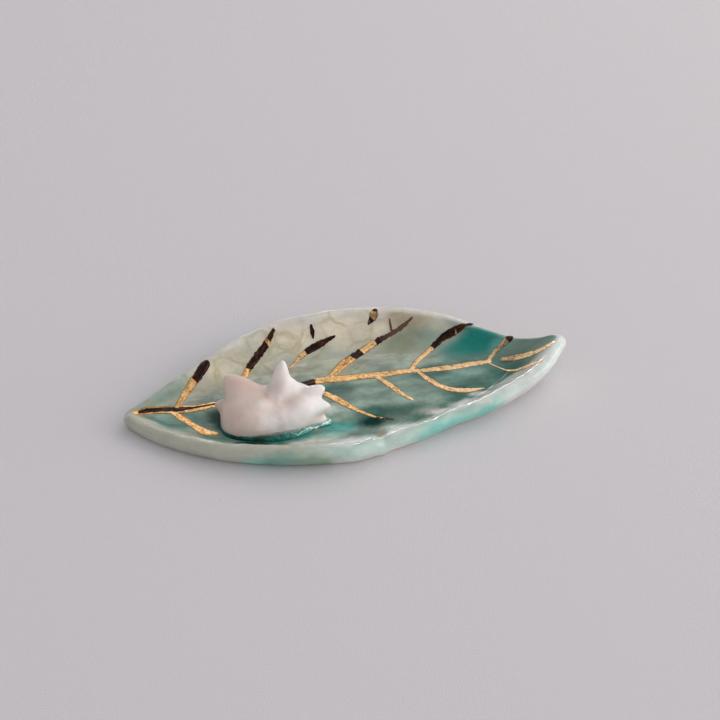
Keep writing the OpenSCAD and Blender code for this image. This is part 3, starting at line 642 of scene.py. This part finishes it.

# Gold strokes
# Points are [share of the length %, share of the half's reach % (near is below 0), width mm]; the second list holds
# (position, share) stops of the painted dark reflection, shares above 1 turning it to a brown wash
STROKES = {
    "midrib_left": ([(2.5, 8, 0.9), (5, 12, 1.8), (8.5, 2, 2.4), (12, -6, 2.8), (15.5, -8, 2.4), (19, -7, 2.1),
                     (24, -5, 1.6), (30, -3, 1.5), (35.5, -1, 1.4)], []),
    "midrib_middle": ([(36.5, -1, 1.4), (41.5, 4, 2), (45, 6, 2.3), (48.5, 4, 2.4), (53, 3, 2.3), (58, 2, 2.1),
                       (63, 3, 1.8), (66.5, 2, 1.3)], [(0, 0.9), (0.21, 0.9), (0.28, 0.1), (1, 0)]),
    "midrib_right": ([(67.5, 1, 1.3), (71, 1, 1.8), (75, 2, 2), (79, 6, 1.9), (83, 10, 1.2)], []),
    "midrib_tip": ([(86, 10, 0.9), (88.5, 3, 1.3), (91, -6, 1.7), (94, -18, 1.7), (96.5, -24, 1)], []),
    "far_vein_1": ([(12, 0, 1.2), (13.5, 30, 1.4), (16, 54, 1.6), (18, 67, 1.7), (20, 81, 2.2)],
                   [(0, 0), (0.58, 0.1), (0.66, 1), (1, 1)]),
    "far_vein_2": ([(25.5, 4, 0.9), (27, 26, 1.1), (29.5, 51, 1.4), (32, 64, 1.5), (34.5, 74, 1.3), (37, 85, 0.6)],
                   [(0, 0), (0.42, 0.1), (0.5, 1), (0.78, 1), (0.84, 0.3), (0.9, 0.9), (1, 0.4)]),
    "far_vein_3": ([(38.5, 35, 0.4), (40.5, 46, 0.7), (43, 56, 1.4), (46, 62, 1.6), (50.5, 69, 0.4)],
                   [(0, 0.1), (0.42, 0.1), (0.5, 1), (1, 1)]),
    "far_vein_4": ([(46.4, 7, 1.5), (48, 14, 1.8), (51, 30, 2.4), (55, 45, 2), (59.5, 58, 1.4), (63, 65, 0.9),
                    (66, 72, 0.9), (68.5, 81, 0.4)],
                   [(0, 0), (0.36, 0.1), (0.4, 1), (0.46, 0.9), (0.5, 0.2), (0.62, 0.3), (0.68, 1.1), (0.8, 1.3), (1, 1.3)]),
    "far_twig": ([(63.5, 66, 0.4), (63.5, 73, 0.5), (63.5, 80, 0.3)], [(0, 1.3), (1, 1.3)]),
    "far_vein_5": ([(65, 2, 1), (67, 19, 1.2), (70.5, 39, 1.3), (74, 57, 1.5), (77, 67, 1.7), (79.5, 77, 1)],
                   [(0, 0), (0.5, 0.1), (0.58, 1), (0.8, 0.9), (0.86, 0.5), (1, 0.9)]),
    "far_vein_6": ([(82.5, 9, 0.8), (84.5, 29, 1.1), (86.5, 47, 1.2), (88.5, 67, 1.8)],
                   [(0, 0), (0.72, 0.1), (0.85, 0.7), (1, 0.6)]),
    "near_vein_1": ([(10.5, -8, 1), (12.5, -28, 1.8), (14.5, -44, 1.5), (16.5, -57, 2.1), (19, -59, 1)], []),
    "near_vein_2": ([(44.5, -13, 1.5), (47, -24, 1.9), (50, -40, 1.2), (53.5, -55, 0.7), (57.5, -66, 0.3)],
                    [(0, 0), (0.6, 0.1), (0.8, 0.5), (1, 0.6)]),
    "near_vein_3": ([(57, 0, 1), (59, -13, 1.5), (61, -30, 1.3), (63, -43, 0.7)], []),
    "near_vein_4": ([(66.5, 1, 0.8), (68.5, -19, 1.5), (71.5, -38, 1.5), (75.5, -48, 1.6), (79.5, -51, 0.4)], []),
    "near_vein_5": ([(82.5, 7, 0.4), (85, -13, 0.5), (88, -37, 1), (90.5, -56, 1.9), (92.5, -72, 0.9)], []),
}
SPOTS = [([(45.5, 81, 0.7), (45.5, 76, 1), (45.5, 71, 0.5)], [(0, 1), (1, 1)]),
         ([(60.5, 89, 1.2), (60, 84, 1.7), (58.5, 77, 0.4)], [(0, 0.8), (0.35, 0.35), (0.6, 0.45), (0.8, 1.2), (1, 1.2)]),
         ([(81.5, 90, 0.8), (81, 85, 1), (80, 79, 0.5)], [(0, 1.2), (0.5, 0.6), (1, 1)])]


def on_leaf(p):
    u, side = p[0] / 100, -1 if p[1] < 0 else 1
    middle = TIP_Y + SPINE_BOW * sind(180 * u)
    return Vector(((u - 0.5) * LEAF_L, mix(middle, edge(u, side).y, abs(p[1]) / 100), p[2]))


def smooth_path(points, steps=12):
    """Smooth path through the points, with half a width added at both ends, as x, y and width."""
    p = [on_leaf(q) for q in points]
    path = []
    for i in range(len(p) - 1):
        a, b, c, d = p[max(0, i - 1)], p[i], p[i + 1], p[min(len(p) - 1, i + 2)]
        for k in range(steps):
            t = k / steps
            path.append(0.5 * (2 * b + (c - a) * t + (2 * a - 5 * b + 4 * c - d) * t * t
                               + (3 * b - 3 * c + d - a) * t ** 3))
    path.append(p[-1])
    ends = []
    for tip, inner in ((path[0], path[1]), (path[-1], path[-2])):
        way = Vector((tip.x - inner.x, tip.y - inner.y, 0)).normalized()
        ends.append(tip + way * tip.z / 2)
    return [ends[0]] + path + [ends[1]]


def gold_stroke(name, points, reflection_and_wash, seed):
    path = smooth_path(points)
    reach = [0.0]
    for a, b in zip(path, path[1:]):
        reach.append(reach[-1] + math.hypot(b.x - a.x, b.y - a.y))
    total = reach[-1]

    def at(s):
        k = 1
        while k < len(path) - 1 and reach[k] < s:
            k += 1
        return path[k - 1].lerp(path[k], max(0, min(1, (s - reach[k - 1]) / max(1e-6, reach[k] - reach[k - 1]))))

    def place(i, j):
        s = total * i
        p, centre, q = at(max(0, s - 0.4)), at(s), at(min(total, s + 0.4))
        way = Vector((q.x - p.x, q.y - p.y)).normalized()
        left = min(s, total - s)
        cap = 0.6 * centre.z
        width = centre.z / 2 * (math.sqrt(max(0, 1 - (1 - left / cap) ** 2)) if left < cap else 1)
        top = j <= 10 / 14
        cross = mix(-1, 1, j * 14 / 10) if top else mix(1, -1, (j * 14 - 10) / 4)
        lip = 5 if cross > 0 else -5
        rag = 0.2 * noise.noise(Vector((s * 1.3, lip, seed))) + 0.14 * noise.noise(Vector((s * 4.0, lip, seed + 3)))
        half = max(0, width + rag * min(1, left * 2) * min(1, centre.z))
        x, y = centre.x - way.y * half * cross, centre.y + way.x * half * cross
        lift = 0.09 * (1 - cross ** 6) * min(1, left * 3) if top else -0.06
        # Share of the painted dark reflection along the stroke
        share = between(reflection_and_wash, i) if reflection_and_wash else 0.0
        if name == "midrib_left":
            # A dark streak, a painted reflection of the dark room in its groove, runs along the middle of its first two
            # thirds, and is thinner in the second
            streak = mix(0.6, 0.28, smoothstep(0.28, 0.42, i))
            share = 1 - smoothstep(streak - 0.12, streak + 0.12, abs(cross - 0.12))
            share *= smoothstep(0.02, 0.06, i) * (1 - smoothstep(0.6, 0.72, i))
        return Vector((x, y, skin_height(x, y) + lift + 0.012)), GLAZE["cream"], (s + 40 * seed, cross, share)
    return draped_grid(name, max(24, int(total / 0.2)), 14, place, 2e-6)


for seed, (name, (points, reflection_and_wash)) in enumerate(STROKES.items()):
    finish_piece(gold_stroke(name, points, reflection_and_wash, seed), "gold", gold, name)
joined = bmesh.new()
for seed, (points, reflection_and_wash) in enumerate(SPOTS):
    spot = gold_stroke("spot", points, reflection_and_wash, seed + len(STROKES))
    joined.from_mesh(spot.data)
    bpy.data.objects.remove(spot)
mesh = bpy.data.meshes.new("gold_spots")
joined.to_mesh(mesh)
joined.free()
dabs = bpy.data.objects.new("gold_spots", mesh)
scene.collection.objects.link(dabs)
finish_piece(dabs, "gold", gold, "gold_spots")

# Floor, light and camera
paper, tree = new_tree("grained white paper")
place = in_millimetres(tree)
grain = add(tree, "TexNoise", {"Vector": place, "Scale": 3.2, "Detail": 3.0})
relief = add(tree, "Bump", {"Height": grain, "Strength": 0.25, "Distance": 0.0005})
shader = add(tree, "BsdfPrincipled", {"Base Color": linear("#D5D1D4"), "Roughness": 0.9, "Normal": relief})
add(tree, "OutputMaterial", {"Surface": shader})
bm = bmesh.new()
bmesh.ops.create_grid(bm, x_segments=2, y_segments=2, size=1.5)
mesh = bpy.data.meshes.new("paper")
bm.to_mesh(mesh)
bm.free()
floor = bpy.data.objects.new("paper", mesh)
floor.data.materials.append(paper)
scene.collection.objects.link(floor)

world = bpy.data.worlds.new("room")
scene.world = world
world.use_nodes = True
tree = world.node_tree
tree.nodes.clear()
direction = add(tree, "TexCoord", out="Generated")
# What shines in the glaze: a room dark at the front and pale at the back, with a low row of windows there
back_light = add(tree, "VectorMath", {0: direction, 1: (0.45, 0.85, 0.25)}, out="Value", operation="DOT_PRODUCT")
room = add(tree, "MapRange", {"Value": back_light, "From Min": -0.8, "From Max": 0.75, "To Min": 0.03, "To Max": 0.85},
           interpolation_type="SMOOTHSTEP")
height = add(tree, "SeparateXYZ", {0: direction}, out=2)
sill = add(tree, "MapRange", {"Value": height, "From Min": 0.08, "From Max": 0.14}, interpolation_type="SMOOTHSTEP")
head = add(tree, "MapRange", {"Value": height, "From Min": 0.32, "From Max": 0.4, "To Min": 10.0, "To Max": 0.0},
           interpolation_type="SMOOTHSTEP")
row = add(tree, "Math", {0: sill, 1: head}, operation="MULTIPLY")
aside = add(tree, "SeparateXYZ", {0: direction}, out=0)
facing = add(tree, "MapRange", {"Value": aside, "From Min": 0.15, "From Max": 0.21, "To Min": 1.0, "To Max": 0.0},
             interpolation_type="SMOOTHSTEP")
left_jamb = add(tree, "MapRange", {"Value": aside, "From Min": -0.16, "From Max": -0.06}, interpolation_type="SMOOTHSTEP")
facing = add(tree, "Math", {0: facing, 1: left_jamb}, operation="MULTIPLY")
ahead = add(tree, "SeparateXYZ", {0: direction}, out=1)
ahead = add(tree, "MapRange", {"Value": ahead, "From Min": 0.3, "From Max": 0.6}, interpolation_type="SMOOTHSTEP")
facing = add(tree, "Math", {0: facing, 1: ahead}, operation="MULTIPLY")
room = add(tree, "Math", {0: row, 1: facing, 2: room}, operation="MULTIPLY_ADD")
# What lights the rest: a soft glow, stronger from the right and the front
from_right = add(tree, "VectorMath", {0: direction, 1: (0.65, -0.72, 0.05)}, out="Value", operation="DOT_PRODUCT")
glow = add(tree, "MapRange", {"Value": from_right, "From Min": -0.9, "From Max": 0.9, "To Min": 0.32, "To Max": 0.9})
glow = add(tree, "VectorMath", {0: (1.0, 1.0, 1.025), "Scale": glow}, operation="SCALE")
glossy = add(tree, "LightPath", out="Is Glossy Ray")
seen = add(tree, "Mix", {0: glossy, 6: glow, 7: room}, out=2, data_type="RGBA")
background = add(tree, "Background", {"Color": seen, "Strength": 1.0})
add(tree, "OutputWorld", {"Surface": background})

for name, place, size, power in (("window", (0.42, 0.3, 0.45), 0.5, 0.85), ("side_window", (1.2, -0.32, 0.4), 0.8, 6.2)):
    lamp = bpy.data.lights.new(name, "AREA")
    lamp.size = size
    lamp.energy = power
    lamp.color = linear("#FFFAF4")[:3]
    holder = bpy.data.objects.new(name, lamp)
    holder.location = place
    holder.rotation_euler = holder.location.to_track_quat("Z", "Y").to_euler()
    scene.collection.objects.link(holder)

AZIMUTH, ELEVATION, DISTANCE, LENS = -12.208, 38.0, 0.52, 115.85
target = Vector((4.511, 8.640, 4)) * MM
back = Vector((sind(AZIMUTH) * cosd(ELEVATION), -cosd(AZIMUTH) * cosd(ELEVATION), sind(ELEVATION)))
camera = bpy.data.objects.new("camera", bpy.data.cameras.new("camera"))
camera.data.lens = LENS
camera.data.sensor_width = 36
camera.data.clip_start = 0.01
camera.location = target + back * DISTANCE
camera.rotation_euler = back.to_track_quat("Z", "Y").to_euler()
scene.collection.objects.link(camera)
scene.camera = camera
scene.view_settings.view_transform = "Standard"
